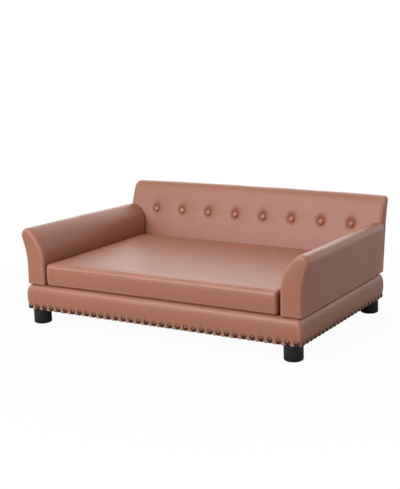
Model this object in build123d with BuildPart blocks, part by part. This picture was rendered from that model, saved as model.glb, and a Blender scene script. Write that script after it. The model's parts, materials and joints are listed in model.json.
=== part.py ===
from build123d import *
from math import atan2, cos, degrees, radians, sin, sqrt, tan
import os

# Dog sofa bed: padded plinth on four feet, two flared arms, a raked tufted backrest
# and a loose boxed seat cushion. The origin is under the middle of the whole sofa, on the floor.

# Plinth
base_length = 935.0
base_depth = 577.0
base_top = 121.0
base_corner = 10.0
base_edge_inset = 13.0
base_padding = 10.0
base_top_padding = 6.0
turn_under = 25.0
dust_inset = 13.0

# Sheets and clearances
leather = 1.2
dust_thickness = 0.6
soft_gap = 0.3
seam_gap = 0.5
overrun = 40.0

# Feet
foot_height = 45.0
foot_radius = 27.0
foot_edge = 2.5
foot_end_inset = 37.0
foot_face_inset = 30.0
foot_screw_radius = 4.0
foot_screw_depth = 26.0
foot_screw_reach = 42.0

# Plinth frame
rail_thickness = 15.0
deck_thickness = 9.0
corner_block = 56.0
cross_rail_width = 30.0
cross_rail_height = 28.0
cross_rail_spacing = 300.0

# Tacks
tack_radius = 5.5
tack_rise = 3.6
tack_taper = 34.0
tack_sides = 6
tack_shank_radius = 0.9
tack_shank_length = 12.0
tack_height = 8.4
tack_band = 6.5
tack_draw_in = 3.5
tack_end_inset = 14.45
front_tack_pitch = 26.65
side_tack_end_inset = 19.3
side_tack_pitch = 24.47

# Arms: outline of the flared profile, seen from the front
arm_end_setback = 2.5
arm_width = 69.0
arm_inner_straight = 67.5
arm_inner_radius = 120.0
roll_radius = 22.0
roll_inset = 2.5
arm_outer_radius = 230.0
arm_front_setback = 8.0
arm_fall = 1.5
arm_edge = 11.0
arm_padding = 11.0
former_thickness = 12.0
arm_board_thickness = 18.0
arm_batten = 14.0

# Backrest
overall_height = 354.0
back_end_setback = 6.0
back_thickness = 65.0
back_rake = 17.0
back_rear_lean = 8.0
back_seat = 52.5
back_corner = 16.0
back_front_edge = 14.0
back_rear_edge = 12.0
back_side_edge = 6.0
back_rear_padding = 6.0
back_end_padding = 13.0
back_frame_drop = 30.0
back_panel_thickness = 3.0
back_post_width = 40.0
back_posts_count = 5
back_post_thickness = 14.0
back_rail_height = 34.0
back_rail_depth = 48.0
back_top_rail_height = 24.0
nail_rail_height = 40.0
nail_rail_drop = 9.0

# Tufts and covered buttons
button_count = 8
button_end_inset = 102.5
button_drop = 88.0
button_radius = 9.0
button_rise = 5.5
tuft_depth = 6.5
tuft_lip = 3.3
tuft_radius = 19.2
tuft_throat_radius = 11.7
tuft_margin = 0.6
tuft_sides = 12
button_taper = 42.0
button_edge = 2.4
nail_radius = 1.2
button_nail_length = 22.0

# Screws that join arms and backrest to the plinth
screw_radius = 3.0
screw_head_radius = 7.0
screw_head_height = 4.0
screw_bite = 16.0
arm_screw_inset = 42.5
arm_screw_front_inset = 120.5
arm_screw_rear_inset = 140.5
back_screw_end_inset = 186.0
back_screw_depth = 18.5

# Seat cushion
cushion_clearance = 3.0
cushion_front_setback = 5.0
cushion_rear_clearance = 0.5
cushion_wall = 60.0
cushion_crown = 9.0
cushion_corner = 16.0
cushion_draw_in = 3.0
cushion_edge_inset = 7.0
cushion_crown_inset = 130.0

# Zip across the cushion's rear boxing
zip_end_inset = 32.0
zip_travel_end = 20.0
zip_tape_width = 30.0
zip_tape_thickness = 0.6
zip_slot = 12.0
zip_chain_width = 6.0
zip_chain_proud = 0.8
zip_gap = 0.3
slider_length = 12.0
slider_plate = 1.2
slider_flange = 1.2
slider_reach = 1.5
bridge_length = 5.0
bridge_width = 2.2
bridge_rise = 2.2
pull_length = 20.0
pull_width = 6.5
pull_thickness = 1.1
pull_corner = 1.6
pull_gap = 0.2

# Steps of a quarter round, sides of small rods and screw heads, and turns in degrees
round_steps = 3
nail_sides = 4
screw_sides = 6
quarter_turn = 90
half_turn = 180

# Shares of the section height and of the section inset, from the lower edge upward
base_height_shares = (0.0, 0.035, 0.33, 0.60, 0.77, 0.92, 1.0)
base_inset_shares = (0.14, 0.0, 0.0, 0.0, 0.03, 0.32, 1.0)
base_bulge_shares = (0.0, 0.0, 0.72, 1.0, 1.0, 1.0, 1.0)
wall_height_shares = (0.0, 0.10, 0.84, 0.95, 1.0)
wall_inset_shares = (0.80, 0.0, 0.0, 0.30, 1.0)
crown_height_shares = (0.60, 1.0)
crown_inset_shares = (0.32, 1.0)

# The heights that follow
base_underside = foot_height + dust_thickness
base_height = base_top - base_underside
rail_low = base_underside + leather
deck_top = base_top - leather - soft_gap - base_top_padding
deck_low = deck_top - deck_thickness
rail_height = deck_low - rail_low
frame_length = base_length - 2 * base_padding
frame_depth = base_depth - 2 * base_padding
tack_level = base_underside + tack_height
rake = radians(back_rake)
rear_lean = radians(back_rear_lean)

# Arms, backrest and cushion keep their places on the plinth when it changes size
arm_outer = base_length / 2 - arm_end_setback
arm_inner = arm_outer - arm_width
roll_x = arm_outer - roll_inset
back_length = base_length - 2 * back_end_setback
back_foot = base_depth / 2 - back_seat
back_rear_foot = back_foot + back_thickness
cushion_half = arm_inner - cushion_clearance
cushion_front = base_depth / 2 - cushion_front_setback
cushion_rear = back_foot - cushion_rear_clearance

# The backrest is a wedge: its face leans further back than its rear
back_rise = overall_height - base_top
front_reach = base_depth / 2 - tack_draw_in + tack_rise
rear_reach = (
    back_rear_foot
    + (back_rise - back_rear_edge) * tan(rear_lean)
    + back_rear_edge * (1 - 1 / cos(rear_lean))
)
base_y = (front_reach - rear_reach) / 2

# Working planes: the plinth's middle on the floor, the backrest's raked face and its rear
ground = Plane(origin=(0, base_y, 0))
back_face = Plane(
    origin=(0, base_y + back_foot, base_top),
    x_dir=(1, 0, 0),
    z_dir=(0, -cos(rake), sin(rake)),
)
back_rear = Plane(
    origin=(0, base_y + back_rear_foot, base_top),
    x_dir=(1, 0, 0),
    z_dir=(0, -cos(rear_lean), sin(rear_lean)),
)

os.makedirs("parts", exist_ok=True)


def save(piece, name):
    """Label one finished piece and write it under its name."""
    piece.label = name
    export_step(piece, "parts/" + name + ".step")


def evenly(count, span):
    """Centred row of places along one line, from end to end of a span."""
    return [(index / (count - 1) - 1 / 2) * span for index in range(count)]


def tack_row(span, pitch):
    """Row of tacks over a span, at the nearest whole number of pitches."""
    return [(x, 0) for x in evenly(round(span / pitch) + 1, span)]


def quarter_round(radius):
    """Depth and draw-in of the sections that round an edge, from its face inward."""
    turns = [radians(quarter_turn * step / round_steps) for step in range(round_steps + 1)]
    return [(radius * (1 - cos(turn)), radius * (1 - sin(turn))) for turn in turns]


def mirrored(piece):
    """The same piece on the sofa's left side."""
    with BuildPart() as other_side:
        mirror(piece, about=Plane.YZ)
    return other_side.part


# Plinth


def base_form(inset):
    """Padded plinth: drawn in along the tacks, fullest above them, rolled into the top."""
    height = base_height - 2 * inset
    band = (tack_height + tack_band) / base_height
    with BuildPart() as form:
        levels = zip(base_height_shares, base_inset_shares, base_bulge_shares)
        for height_share, inset_share, bulge_share in levels:
            level = height_share * height
            draw = inset + base_edge_inset * inset_share + tack_draw_in * (1 - bulge_share)
            with BuildSketch(ground.offset(base_underside + inset + level)):
                RectangleRounded(base_length - 2 * draw, base_depth - 2 * draw, base_corner)
            if bulge_share == 0 and height_share > 0:
                with BuildSketch(ground.offset(base_underside + inset + band * height)):
                    RectangleRounded(base_length - 2 * draw, base_depth - 2 * draw, base_corner)
        loft(ruled=True)
    return form.part



with BuildPart() as base_cover:
    add(base_form(0))
    add(base_form(leather), mode=Mode.SUBTRACT)
    with BuildSketch(ground.offset(base_underside)):
        Rectangle(base_length - 2 * turn_under, base_depth - 2 * turn_under)
    extrude(amount=leather, mode=Mode.SUBTRACT)
save(base_cover.part, "base_cover")

with BuildPart() as base_foam:
    add(base_form(leather + soft_gap))
    with BuildSketch(ground.offset(rail_low - overrun)):
        Rectangle(frame_length, frame_depth)
    extrude(amount=deck_top - rail_low + overrun, mode=Mode.SUBTRACT)
save(base_foam.part, "base_foam")

with BuildPart() as base_deck:
    with BuildSketch(ground.offset(deck_low)):
        Rectangle(frame_length, frame_depth)
    extrude(amount=deck_thickness)
save(base_deck.part, "base_deck")

side_rail_length = frame_depth - 2 * rail_thickness
rail_shapes = {
    "base_front_rail": (0, (rail_thickness - frame_depth) / 2, frame_length, rail_thickness),
    "base_rear_rail": (0, (frame_depth - rail_thickness) / 2, frame_length, rail_thickness),
    "base_left_rail": ((rail_thickness - frame_length) / 2, 0, rail_thickness, side_rail_length),
    "base_right_rail": ((frame_length - rail_thickness) / 2, 0, rail_thickness, side_rail_length),
}
for rail_name, (rail_x, rail_y, rail_length, rail_depth) in rail_shapes.items():
    with BuildPart() as rail:
        with BuildSketch(ground.offset(rail_low)):
            with Locations((rail_x, rail_y)):
                Rectangle(rail_length, rail_depth)
        extrude(amount=rail_height)
    save(rail.part, rail_name)

with BuildPart() as base_cross_rails:
    with BuildSketch(ground.offset(deck_low - cross_rail_height)):
        with Locations(*[(x, 0) for x in evenly(2, cross_rail_spacing)]):
            Rectangle(cross_rail_width, side_rail_length)
    extrude(amount=cross_rail_height)
save(base_cross_rails.part, "base_cross_rails")

block_x = frame_length / 2 - rail_thickness - corner_block / 2
block_y = frame_depth / 2 - rail_thickness - corner_block / 2
with BuildPart() as base_corner_blocks:
    with BuildSketch(ground.offset(rail_low)):
        with GridLocations(2 * block_x, 2 * block_y, 2, 2):
            Rectangle(corner_block, corner_block)
    extrude(amount=rail_height)
save(base_corner_blocks.part, "base_corner_blocks")

with BuildPart() as dust_cover:
    with BuildSketch(ground.offset(foot_height)):
        Rectangle(base_length - 2 * dust_inset, base_depth - 2 * dust_inset)
    extrude(amount=dust_thickness)
save(dust_cover.part, "dust_cover")

# Feet, each moulded round the lower half of its screw

foot_span_x = base_length - 2 * foot_end_inset
foot_span_y = base_depth - 2 * foot_face_inset
with BuildPart() as feet:
    with BuildSketch(ground):
        with GridLocations(foot_span_x, foot_span_y, 2, 2):
            Circle(foot_radius)
    extrude(amount=foot_height)
    chamfer(feet.edges().group_by(Axis.Z)[0], foot_edge)
save(feet.part, "feet")

with BuildPart() as foot_screws:
    with BuildSketch(ground.offset(foot_height - foot_screw_depth)):
        with GridLocations(foot_span_x, foot_span_y, 2, 2):
            RegularPolygon(foot_screw_radius, screw_sides)
    extrude(amount=foot_screw_depth + foot_screw_reach)
save(foot_screws.part, "foot_screws")


# Tacks: a domed head on the drawn-in band, its shank driven through cover and foam
with BuildPart() as tack:
    with BuildSketch(Plane.XY):
        RegularPolygon(tack_radius, tack_sides)
    extrude(amount=tack_rise, taper=tack_taper)
    with BuildSketch(Plane.XY):
        RegularPolygon(tack_shank_radius, nail_sides)
    extrude(amount=-tack_shank_length)

front_row = Plane(
    origin=(0, base_y - base_depth / 2 + tack_draw_in, tack_level),
    x_dir=(1, 0, 0),
    z_dir=(0, -1, 0),
)
right_row = Plane(
    origin=(base_length / 2 - tack_draw_in, base_y, tack_level),
    x_dir=(0, 1, 0),
    z_dir=(1, 0, 0),
)
with BuildPart() as tacks_front:
    with Locations(front_row):
        with Locations(*tack_row(base_length - 2 * tack_end_inset, front_tack_pitch)):
            add(tack.part)
save(tacks_front.part, "tacks_front")

with BuildPart() as tacks_right:
    with Locations(right_row):
        with Locations(*tack_row(base_depth - 2 * side_tack_end_inset, side_tack_pitch)):
            add(tack.part)
save(tacks_right.part, "tacks_right")
save(mirrored(tacks_right.part), "tacks_left")


# Arms


# Centres of the arm's three arcs, each tangent to the next: inner flank, roll, outer flank
inner_centre = (arm_inner + arm_inner_radius, arm_inner_straight)
roll_run = inner_centre[0] - roll_x
roll_rise = sqrt((arm_inner_radius - roll_radius) ** 2 - roll_run**2)
roll_level = arm_inner_straight + roll_rise
outer_run = arm_outer + arm_outer_radius - roll_x
outer_drop = sqrt((arm_outer_radius + roll_radius) ** 2 - outer_run**2)
outer_centre = (roll_x + outer_run, roll_level - outer_drop)
inner_turn = degrees(atan2(roll_rise, -roll_run))
outer_turn = degrees(atan2(-outer_drop, outer_run))


def arm_outline(inset):
    """Flared arm from the front: upright inside, rolled top, hollow outer flank."""
    left = arm_inner + inset
    right = arm_outer - inset
    with BuildSketch(Plane.XY) as outline:
        with BuildLine():
            Line((left, -overrun), (left, inner_centre[1]))
            CenterArc(
                inner_centre, arm_inner_radius - inset, half_turn, inner_turn - half_turn
            )
            CenterArc(
                (roll_x, roll_level), roll_radius - inset, inner_turn, outer_turn - inner_turn
            )
            CenterArc(
                outer_centre, arm_outer_radius + inset, half_turn + outer_turn, -outer_turn
            )
            Polyline((right, outer_centre[1]), (right, -overrun), (left, -overrun))
        make_face()
    return outline.sketch


# The arm's front, square to its gently falling top
arm_front = base_depth / 2 - arm_front_setback
arm_run = arm_front + back_foot + back_rise * tan(rake) + overrun
fall = radians(arm_fall)
arm_face = Plane(
    origin=(0, base_y - arm_front, base_top), x_dir=(1, 0, 0), z_dir=(0, -cos(fall), sin(fall))
)
arm_floor = base_top + leather


def arm_form(inset, sole):
    """Right arm: soft front edge, level sole, the rear cut to the raked backrest."""
    steps = quarter_round(arm_edge - inset) if inset < arm_edge else [(0, 0)]
    with BuildPart() as form:
        for depth, draw in steps:
            with BuildSketch(arm_face.offset(-inset - depth)):
                add(arm_outline(inset + draw))
        if inset < arm_edge:
            loft(ruled=True)
            with BuildSketch(arm_face.offset(-arm_edge)):
                add(arm_outline(inset))
        extrude(amount=-arm_run)
        split(bisect_by=Plane.XY.offset(sole), keep=Keep.TOP)
        split(bisect_by=back_face.offset(seam_gap + inset), keep=Keep.TOP)
    return form.part


with BuildPart() as arm_cover:
    add(arm_form(0, base_top))
    add(arm_form(leather, arm_floor), mode=Mode.SUBTRACT)
save(arm_cover.part, "right_arm_cover")
save(mirrored(arm_cover.part), "left_arm_cover")

with BuildPart() as arm_foam:
    add(arm_form(leather + soft_gap, arm_floor))
    add(arm_form(arm_padding, base_top), mode=Mode.SUBTRACT)
save(arm_foam.part, "right_arm_foam")
save(mirrored(arm_foam.part), "left_arm_foam")

arm_core = arm_form(arm_padding + soft_gap, arm_floor)
former_front = arm_face.offset(-(arm_padding + soft_gap + former_thickness))
former_rear = back_face.offset(seam_gap + arm_padding + soft_gap + former_thickness)

with BuildPart() as arm_front_former:
    add(arm_core)
    split(bisect_by=former_front, keep=Keep.TOP)
save(arm_front_former.part, "right_arm_front_former")
save(mirrored(arm_front_former.part), "left_arm_front_former")

with BuildPart() as arm_rear_former:
    add(arm_core)
    split(bisect_by=former_rear, keep=Keep.BOTTOM)
save(arm_rear_former.part, "right_arm_rear_former")
save(mirrored(arm_rear_former.part), "left_arm_rear_former")

with BuildPart() as arm_board:
    with BuildSketch(Plane.XY.offset(arm_floor)):
        with Locations(((arm_inner + arm_outer) / 2, base_y)):
            Rectangle(arm_outer - arm_inner - 2 * (arm_padding + soft_gap), base_depth)
    extrude(amount=arm_board_thickness)
    split(bisect_by=former_front, keep=Keep.BOTTOM)
    split(bisect_by=former_rear, keep=Keep.TOP)
save(arm_board.part, "right_arm_board")
save(mirrored(arm_board.part), "left_arm_board")

with BuildPart() as arm_top_rail:
    with BuildSketch(former_front):
        with Locations((roll_x, roll_level)):
            Rectangle(arm_batten, arm_batten)
    extrude(amount=-arm_run)
    split(bisect_by=former_rear, keep=Keep.TOP)
save(arm_top_rail.part, "right_arm_top_rail")
save(mirrored(arm_top_rail.part), "left_arm_top_rail")


# Backrest


# Funnel that a button draws into the padding, steeper toward the button
tuft_floor_radius = button_radius + tuft_margin
tuft_throat = tuft_depth - tuft_lip
with BuildPart() as tuft:
    with BuildSketch(Plane.XY):
        RegularPolygon(tuft_radius, tuft_sides, major_radius=False)
    extrude(amount=-overrun)
    with BuildSketch(Plane.XY):
        RegularPolygon(tuft_radius, tuft_sides, major_radius=False)
    extrude(amount=tuft_lip, taper=degrees(atan2(tuft_radius - tuft_throat_radius, tuft_lip)))
    with BuildSketch(Plane.XY.offset(tuft_lip)):
        RegularPolygon(tuft_throat_radius, tuft_sides, major_radius=False)
    extrude(
        amount=tuft_throat,
        taper=degrees(atan2(tuft_throat_radius - tuft_floor_radius, tuft_throat)),
    )

# Sections square to the face and to the rear, for their upright edges
face_section = Plane(origin=back_face.origin, x_dir=(1, 0, 0), z_dir=(0, sin(rake), cos(rake)))
rear_section = Plane(
    origin=back_rear.origin, x_dir=(1, 0, 0), z_dir=(0, sin(rear_lean), cos(rear_lean))
)

button_rise_up = (back_rise - button_drop) / cos(rake)
button_span = back_length - 2 * button_end_inset
button_places = [(x, button_rise_up) for x in evenly(button_count, button_span)]


def wedge(inset):
    """Side profile of the backrest, its two upper edges rounded, drawn along the sofa."""
    low = base_top - overrun
    with BuildPart() as form:
        with BuildSketch(Plane.YZ) as profile:
            with BuildLine():
                Polyline(
                    (base_y + back_foot - overrun * tan(rake), low),
                    (base_y + back_foot + back_rise * tan(rake), overall_height),
                    (base_y + back_rear_foot + back_rise * tan(rear_lean), overall_height),
                    (base_y + back_rear_foot - overrun * tan(rear_lean), low),
                    close=True,
                )
            make_face()
            upper = profile.vertices().group_by(Axis.Y)[-1].sort_by(Axis.X)
            fillet(upper[0], back_front_edge)
            upper = profile.vertices().group_by(Axis.Y)[-1].sort_by(Axis.X)
            fillet(upper[1], back_rear_edge)
            if inset:
                offset(amount=-inset)
        extrude(amount=back_length, both=True)
    return form.part


def side_edges(plane, inset, toward):
    """Prism that takes the corners off the backrest's two upright edges on one face."""
    half = back_length / 2
    cut = back_side_edge + sqrt(2) * inset
    near = half - cut - overrun
    far = half + overrun
    with BuildPart() as form:
        with BuildSketch(plane):
            with BuildLine():
                Polyline(
                    (-far, toward * base_depth),
                    (-far, toward * (cut + overrun)),
                    (-near, -toward * overrun),
                    (near, -toward * overrun),
                    (far, toward * (cut + overrun)),
                    (far, toward * base_depth),
                    close=True,
                )
            make_face()
        extrude(amount=overall_height, both=True)
    return form.part


def back_form(inset, sole):
    """Raked padded wedge with soft edges, its foot cut level, a funnel at each button."""
    with BuildPart() as form:
        with BuildSketch(Plane.XZ) as outline:
            with Locations((0, (overall_height + base_top - inset - overrun) / 2)):
                Rectangle(back_length - 2 * inset, back_rise - inset + overrun)
            fillet(outline.vertices().group_by(Axis.Y)[-1], back_corner - inset)
        extrude(amount=base_depth, both=True)
        add(wedge(inset), mode=Mode.INTERSECT)
        add(side_edges(face_section, inset, 1), mode=Mode.INTERSECT)
        add(side_edges(rear_section, inset, -1), mode=Mode.INTERSECT)
        split(bisect_by=Plane.XY.offset(sole), keep=Keep.TOP)
        with Locations(back_face.offset(-inset)):
            with Locations(*[Location((x, y), (half_turn, 0, 0)) for x, y in button_places]):
                add(tuft.part, mode=Mode.SUBTRACT)
    return form.part


def back_slice(width, low, high, cover, thickness):
    """Board along the backrest's rear: its edges up the slope, its depth from the rear inward."""
    with BuildPart() as board:
        with BuildSketch(back_rear.offset(cover)):
            with Locations((0, (low + high) / 2)):
                Rectangle(width, high - low)
        extrude(amount=thickness)
    return board.part


back_floor = base_top + leather
back_frame_length = back_length - 2 * back_end_padding
back_frame_top = back_rise / cos(rear_lean) - back_frame_drop
post_top = back_frame_top - back_top_rail_height
panel_cover = back_rear_padding + back_post_thickness
nail_rail_level = (back_rise - button_drop) / cos(rear_lean) - nail_rail_drop
nail_rail_low = nail_rail_level - nail_rail_height / 2
nail_rail_high = nail_rail_level + nail_rail_height / 2

with BuildPart() as back_cover:
    add(back_form(0, base_top))
    add(back_form(leather, back_floor), mode=Mode.SUBTRACT)
save(back_cover.part, "back_cover")

frame_space = back_frame_length + 2 * soft_gap
frame_depth_inside = back_post_thickness + back_panel_thickness + 2 * soft_gap
space_cover = back_rear_padding - soft_gap
with BuildPart() as back_foam:
    add(back_form(leather + soft_gap, back_floor))
    add(
        back_slice(
            frame_space, -overrun, back_frame_top + soft_gap, space_cover, frame_depth_inside
        ),
        mode=Mode.SUBTRACT,
    )
    add(
        back_slice(
            frame_space,
            -overrun,
            back_rail_height + soft_gap,
            space_cover,
            back_rail_depth + 2 * soft_gap,
        ),
        mode=Mode.SUBTRACT,
    )
save(back_foam.part, "back_foam")

with BuildPart() as back_bottom_rail:
    add(
        back_slice(
            back_frame_length, -overrun, back_rail_height, back_rear_padding, back_rail_depth
        )
    )
    split(bisect_by=Plane.XY.offset(back_floor), keep=Keep.TOP)
save(back_bottom_rail.part, "back_bottom_rail")

post_span = back_frame_length - back_post_width
with BuildPart() as back_posts:
    with Locations(*[(x, 0) for x in evenly(back_posts_count, post_span)]):
        for low, high in ((back_rail_height, nail_rail_low), (nail_rail_high, post_top)):
            add(back_slice(back_post_width, low, high, back_rear_padding, back_post_thickness))
save(back_posts.part, "back_posts")

back_panel = back_slice(
    back_frame_length, back_rail_height, back_frame_top, panel_cover, back_panel_thickness
)
save(back_panel, "back_panel")

back_nail_rail = back_slice(
    back_frame_length, nail_rail_low, nail_rail_high, back_rear_padding, back_post_thickness
)
save(back_nail_rail, "back_nail_rail")

back_top_rail = back_slice(
    back_frame_length, post_top, back_frame_top, back_rear_padding, back_post_thickness
)
save(back_top_rail, "back_top_rail")

# Covered buttons on the funnels' floors, and the nails that hold them

with BuildPart() as button:
    with BuildSketch(Plane.XY):
        RegularPolygon(button_radius, tuft_sides, major_radius=False)
    extrude(amount=button_edge)
    with BuildSketch(Plane.XY.offset(button_edge)):
        RegularPolygon(button_radius, tuft_sides, major_radius=False)
    extrude(amount=button_rise - button_edge, taper=button_taper)

tuft_floor = back_face.offset(-tuft_depth)
with BuildPart() as back_buttons:
    with Locations(tuft_floor):
        with Locations(*button_places):
            add(button.part)
save(back_buttons.part, "back_buttons")

with BuildPart() as button_nails:
    with BuildSketch(tuft_floor):
        with Locations(*button_places):
            RegularPolygon(nail_radius, nail_sides)
    extrude(amount=-button_nail_length)
save(button_nails.part, "button_nails")

# Frame screws: heads under the deck, two into each arm board and two into the backrest's rail

arm_screw_x = base_length / 2 - arm_screw_inset
back_screw_span = back_length - 2 * back_screw_end_inset
arm_screw_ys = (arm_screw_front_inset - base_depth / 2, base_depth / 2 - arm_screw_rear_inset)
screw_places = [(x, y) for x in (-arm_screw_x, arm_screw_x) for y in arm_screw_ys]
screw_places += [(x, back_foot + back_screw_depth) for x in evenly(2, back_screw_span)]
screw_tip = base_top + leather + screw_bite
with BuildPart() as frame_screws:
    with BuildSketch(ground.offset(deck_low)):
        with Locations(*screw_places):
            RegularPolygon(screw_head_radius, screw_sides)
    extrude(amount=-screw_head_height)
    with BuildSketch(ground.offset(deck_low)):
        with Locations(*screw_places):
            RegularPolygon(screw_radius, screw_sides)
    extrude(amount=screw_tip - deck_low)
save(frame_screws.part, "frame_screws")

# Seat cushion

cushion_low = base_top + soft_gap
zip_level = cushion_low + cushion_wall / 2
zip_length = 2 * (cushion_half - zip_end_inset)
zip_travel = zip_length - 2 * zip_travel_end
boxing = base_y + cushion_rear


def cushion_outline(inset):
    """Outline of the cushion: soft corners, front and ends drawn in to their middles."""
    half = cushion_half - inset
    waist = half - cushion_draw_in
    front = inset - cushion_front
    rear = cushion_rear - inset
    middle = (front + rear) / 2
    with BuildSketch(Plane.XY) as section:
        with BuildLine():
            Polyline(
                (-half, front),
                (0, front + cushion_draw_in),
                (half, front),
                (waist, middle),
                (half, rear),
                (-half, rear),
                (-waist, middle),
                close=True,
            )
        make_face()
        ends = section.vertices().group_by(lambda vertex: round(abs(vertex.X)))[-1]
        fillet(ends, cushion_corner)
    return section.sketch


def cushion_form(inset):
    """Boxed cushion: near-upright boxing, seamed edge, crowned top."""
    low = cushion_low + inset
    wall = cushion_wall - 2 * inset
    with BuildPart() as boxing_part:
        for height_share, inset_share in zip(wall_height_shares, wall_inset_shares):
            with BuildSketch(ground.offset(low + height_share * wall)):
                add(cushion_outline(inset + inset_share * cushion_edge_inset))
        loft(ruled=True)
    crown_level = ground.offset(low + wall)
    edge = inset + cushion_edge_inset
    with BuildPart() as slopes:
        level = 0
        spread = 0
        for height_share, inset_share in zip(crown_height_shares, crown_inset_shares):
            rise = height_share * cushion_crown - level
            run = inset_share * cushion_crown_inset - spread
            with BuildSketch(crown_level.offset(level)):
                with Locations((0, (cushion_rear - cushion_front) / 2)):
                    Rectangle(
                        2 * (cushion_half - edge - spread),
                        cushion_front + cushion_rear - 2 * (edge + spread),
                    )
            extrude(amount=rise, taper=degrees(atan2(run, rise)))
            level += rise
            spread += run
    with BuildPart() as form:
        with BuildSketch(crown_level):
            add(cushion_outline(edge))
        extrude(amount=cushion_crown)
        add(slopes.part, mode=Mode.INTERSECT)
        add(boxing_part.part)
    return form.part


def rear_bar(length, height, inner, outer, x=0.0):
    """Bar along the cushion's rear boxing, from one depth off its face to another."""
    with BuildPart() as bar:
        with BuildSketch(Plane((x, boxing + inner, zip_level), x_dir=(1, 0, 0), z_dir=(0, 1, 0))):
            Rectangle(length, height)
        extrude(amount=outer - inner)
    return bar.part


tape_low = -leather - zip_tape_thickness
with BuildPart() as cushion_cover:
    add(cushion_form(0))
    add(cushion_form(leather), mode=Mode.SUBTRACT)
    add(rear_bar(zip_length, zip_slot, -overrun, overrun), mode=Mode.SUBTRACT)
save(cushion_cover.part, "cushion_cover")

with BuildPart() as cushion_core:
    add(cushion_form(leather + soft_gap))
    add(
        rear_bar(
            zip_length + 2 * zip_slot,
            zip_tape_width + 2 * soft_gap,
            tape_low - soft_gap,
            overrun,
        ),
        mode=Mode.SUBTRACT,
    )
save(cushion_core.part, "cushion_core")

zip_tape = rear_bar(zip_length + zip_slot, zip_tape_width, tape_low, -leather)
save(zip_tape, "zip_tape")

zip_chain = rear_bar(zip_length - zip_slot, zip_chain_width, -leather, zip_chain_proud)
save(zip_chain, "zip_chain")

# Zip slider: a plate over the chain with a flange on each side, parked at the closed end

slider_x = -zip_travel / 2
plate_low = zip_chain_proud + zip_gap
plate_high = plate_low + slider_plate
slider_height = zip_chain_width + 2 * (zip_gap + slider_flange)
with BuildPart() as zip_slider:
    add(rear_bar(slider_length, slider_height, plate_low - slider_reach, plate_high, slider_x))
    add(
        rear_bar(
            slider_length + overrun,
            zip_chain_width + 2 * zip_gap,
            plate_low - slider_reach,
            plate_low,
            slider_x,
        ),
        mode=Mode.SUBTRACT,
    )
    add(rear_bar(bridge_length, bridge_width, plate_low, plate_high + bridge_rise, slider_x))
save(zip_slider.part, "zip_slider")

eye_length = bridge_length + 2 * pull_gap
eye_width = bridge_width + 2 * pull_gap
pull_low = plate_high + pull_gap
pull_high = pull_low + pull_thickness
pull_x = slider_x - (pull_length - pull_width - bridge_length) / 2
with BuildPart() as zip_pull:
    add(rear_bar(pull_length, pull_width, pull_low, pull_high, pull_x))
    chamfer(zip_pull.edges().filter_by(Axis.Y), pull_corner)
    add(rear_bar(eye_length, eye_width, pull_low, pull_high, slider_x), mode=Mode.SUBTRACT)
save(zip_pull.part, "zip_pull")
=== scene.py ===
import bmesh
import bpy
import json
import math
from mathutils import Matrix, Vector, noise


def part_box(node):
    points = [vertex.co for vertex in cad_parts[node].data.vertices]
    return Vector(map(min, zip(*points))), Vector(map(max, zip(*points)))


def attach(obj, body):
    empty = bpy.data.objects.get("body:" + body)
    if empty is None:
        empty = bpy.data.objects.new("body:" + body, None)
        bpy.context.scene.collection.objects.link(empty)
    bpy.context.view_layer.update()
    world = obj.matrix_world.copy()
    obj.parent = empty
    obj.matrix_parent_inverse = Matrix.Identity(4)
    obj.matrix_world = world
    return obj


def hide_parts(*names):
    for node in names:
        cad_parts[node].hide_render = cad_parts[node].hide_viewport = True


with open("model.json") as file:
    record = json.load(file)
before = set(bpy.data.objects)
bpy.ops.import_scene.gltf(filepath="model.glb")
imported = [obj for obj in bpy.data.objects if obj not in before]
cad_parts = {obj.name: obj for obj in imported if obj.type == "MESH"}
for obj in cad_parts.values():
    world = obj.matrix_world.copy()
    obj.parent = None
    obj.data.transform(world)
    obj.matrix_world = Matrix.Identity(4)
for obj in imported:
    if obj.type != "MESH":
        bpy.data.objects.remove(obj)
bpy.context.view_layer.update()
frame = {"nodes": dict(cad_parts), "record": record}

bl_info = {
    "name": "Dog sofa bed",
    "version": (1, 0, 0),
    "blender": (4, 5, 0),
    "location": "3D View > Sidebar > Sofa",
    "description": "Upholstered dog sofa with a tufted backrest, flared arms and a loose cushion",
    "category": "Object",
}

PLINTH_LOW, PLINTH_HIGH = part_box("base_cover")
ARM_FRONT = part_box("right_arm_cover")[0].y
BACK_LOW, BACK_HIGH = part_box("back_cover")
SEAT_LOW, SEAT_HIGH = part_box("cushion_cover")
MIDDLE_Y = (PLINTH_LOW.y + PLINTH_HIGH.y) / 2
HALF_X = PLINTH_HIGH.x
HALF_Y = (PLINTH_HIGH.y - PLINTH_LOW.y) / 2
PLINTH_TOP = PLINTH_HIGH.z
SEAM_WIDTH = 0.0010


# Sizes and colours that a user would change


def number(name, description, default, unit="NONE"):
    """A property that holds one number."""
    return bpy.props.FloatProperty(name=name, description=description, default=default, unit=unit)


def length(name, description, default):
    """A property that holds a length."""
    return number(name, description, default, "LENGTH")


def angle(name, description, degrees):
    """A property that holds an angle, given in degrees."""
    return number(name, description, math.radians(degrees), "ROTATION")


def share_value(name, description, default):
    """A property that holds a share from 0 to 1."""
    return bpy.props.FloatProperty(
        name=name, description=description, default=default, subtype="FACTOR"
    )


def colour_value(name, description, default):
    """A property that holds a colour."""
    return bpy.props.FloatVectorProperty(
        name=name, description=description, default=default, subtype="COLOR", size=3, min=0, max=1
    )


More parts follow.
